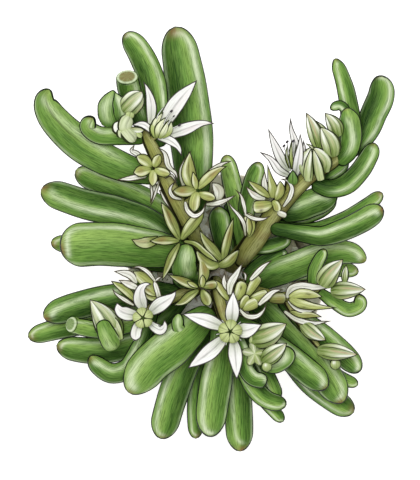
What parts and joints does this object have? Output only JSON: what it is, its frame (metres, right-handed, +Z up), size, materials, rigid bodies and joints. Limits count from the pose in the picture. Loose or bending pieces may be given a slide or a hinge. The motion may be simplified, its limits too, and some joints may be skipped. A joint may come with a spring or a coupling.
{
  "type": "potted sedum cespitosum",
  "caption": "Small fleshy stonecrop in flower and fruit: a tuft of shoots with sausage-shaped leaves, white star flowers, pointed buds and star fruits, in a plain clay pot.",
  "frame": {"origin": "middle of the pot's foot, on the surface that it stands on", "axes": "+Z up along the pot's axis; +Y towards the top of the picture, +X to its right, both seen from above"},
  "size_m": [0.0459, 0.0533, 0.0399],
  "materials": {
    "clay": "unglazed pale clay, matte, with a light mineral bloom",
    "grit": "dry brown soil with pale grit",
    "leaf": "fleshy green leaf, soft waxy sheen, fine lengthwise streaks",
    "fruit": "dry yellow-green seed pods with brown edges",
    "dried_petal": "papery off-white withered petals",
    "petal": "soft white petals with a grey-pink midline",
    "carpel": "smooth pale green",
    "bud": "greenish white, ribbed, pink at the point"
  },
  "bodies": {
    "root": {"pot": "clay", "soil": "grit", "shoot_upper_left": "leaf", "shoot_upper_right": "leaf", "shoot_left": "leaf", "shoot_lower_left": "leaf", "shoot_front_low": "leaf", "shoot_front": "leaf", "shoot_right": "leaf", "fruit_left_high": "fruit", "fruit_high": "fruit", "fruit_left": "fruit", "fruit_centre": "fruit", "fruit_middle": "fruit", "fruit_right_high": "fruit", "fruit_right_low": "fruit", "fruit_low_left": "fruit", "fruit_low_right": "fruit", "fruit_right": "fruit", "husk_left_high": "dried_petal", "husk_high": "dried_petal", "husk_right_high": "dried_petal", "husk_right_low": "dried_petal", "husk_low_left": "dried_petal", "husk_low_right": "dried_petal", "husk_right": "dried_petal", "flower_left_high": "petal", "flower_lower_left": "petal", "flower_front": "petal", "flower_right_high": "petal", "flower_left_high_middle": "carpel", "flower_lower_left_middle": "carpel", "flower_front_middle": "carpel", "flower_right_high_middle": "carpel", "buds_left_high": "bud", "buds_right_high": "bud", "bud_opening": "bud", "bud_lower_left": "bud", "buds_front": "bud", "buds_right": "bud", "bud_right_tip": "bud", "bud_low_right": "bud", "buds_low_right_tip": "bud"}
  },
  "joints": []
}
